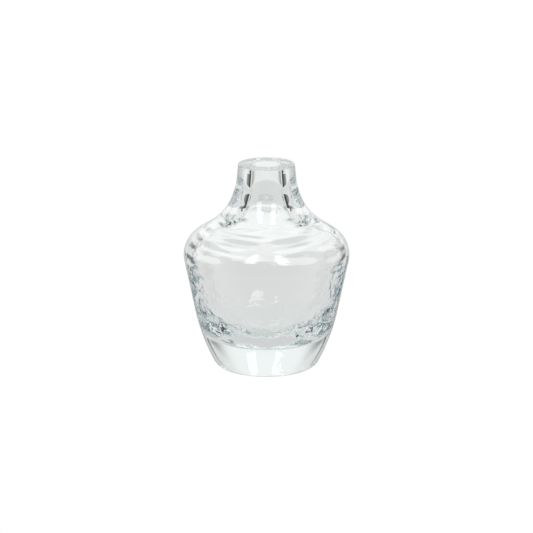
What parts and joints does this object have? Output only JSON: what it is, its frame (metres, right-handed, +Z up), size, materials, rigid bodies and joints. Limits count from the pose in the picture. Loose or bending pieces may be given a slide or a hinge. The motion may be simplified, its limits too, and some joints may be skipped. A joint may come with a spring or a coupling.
{
  "type": "bud vase",
  "caption": "Clear glass bud vase with a narrow flat-rimmed neck, a wide rounded shoulder and a side that tapers to a thick solid foot; it holds a short flower stem in water.",
  "frame": {"origin": "on the vase's axis, in the plane that the foot stands on", "axes": "+Z up the axis towards the mouth; X and Y are any two level directions, because the form is turned"},
  "size_m": [0.0798, 0.0796, 0.1],
  "materials": {
    "clear_glass": "fire-polished, with soft ripples; rim and underside ground"
  },
  "bodies": {
    "root": {"glass_vase": "clear_glass"}
  },
  "joints": []
}
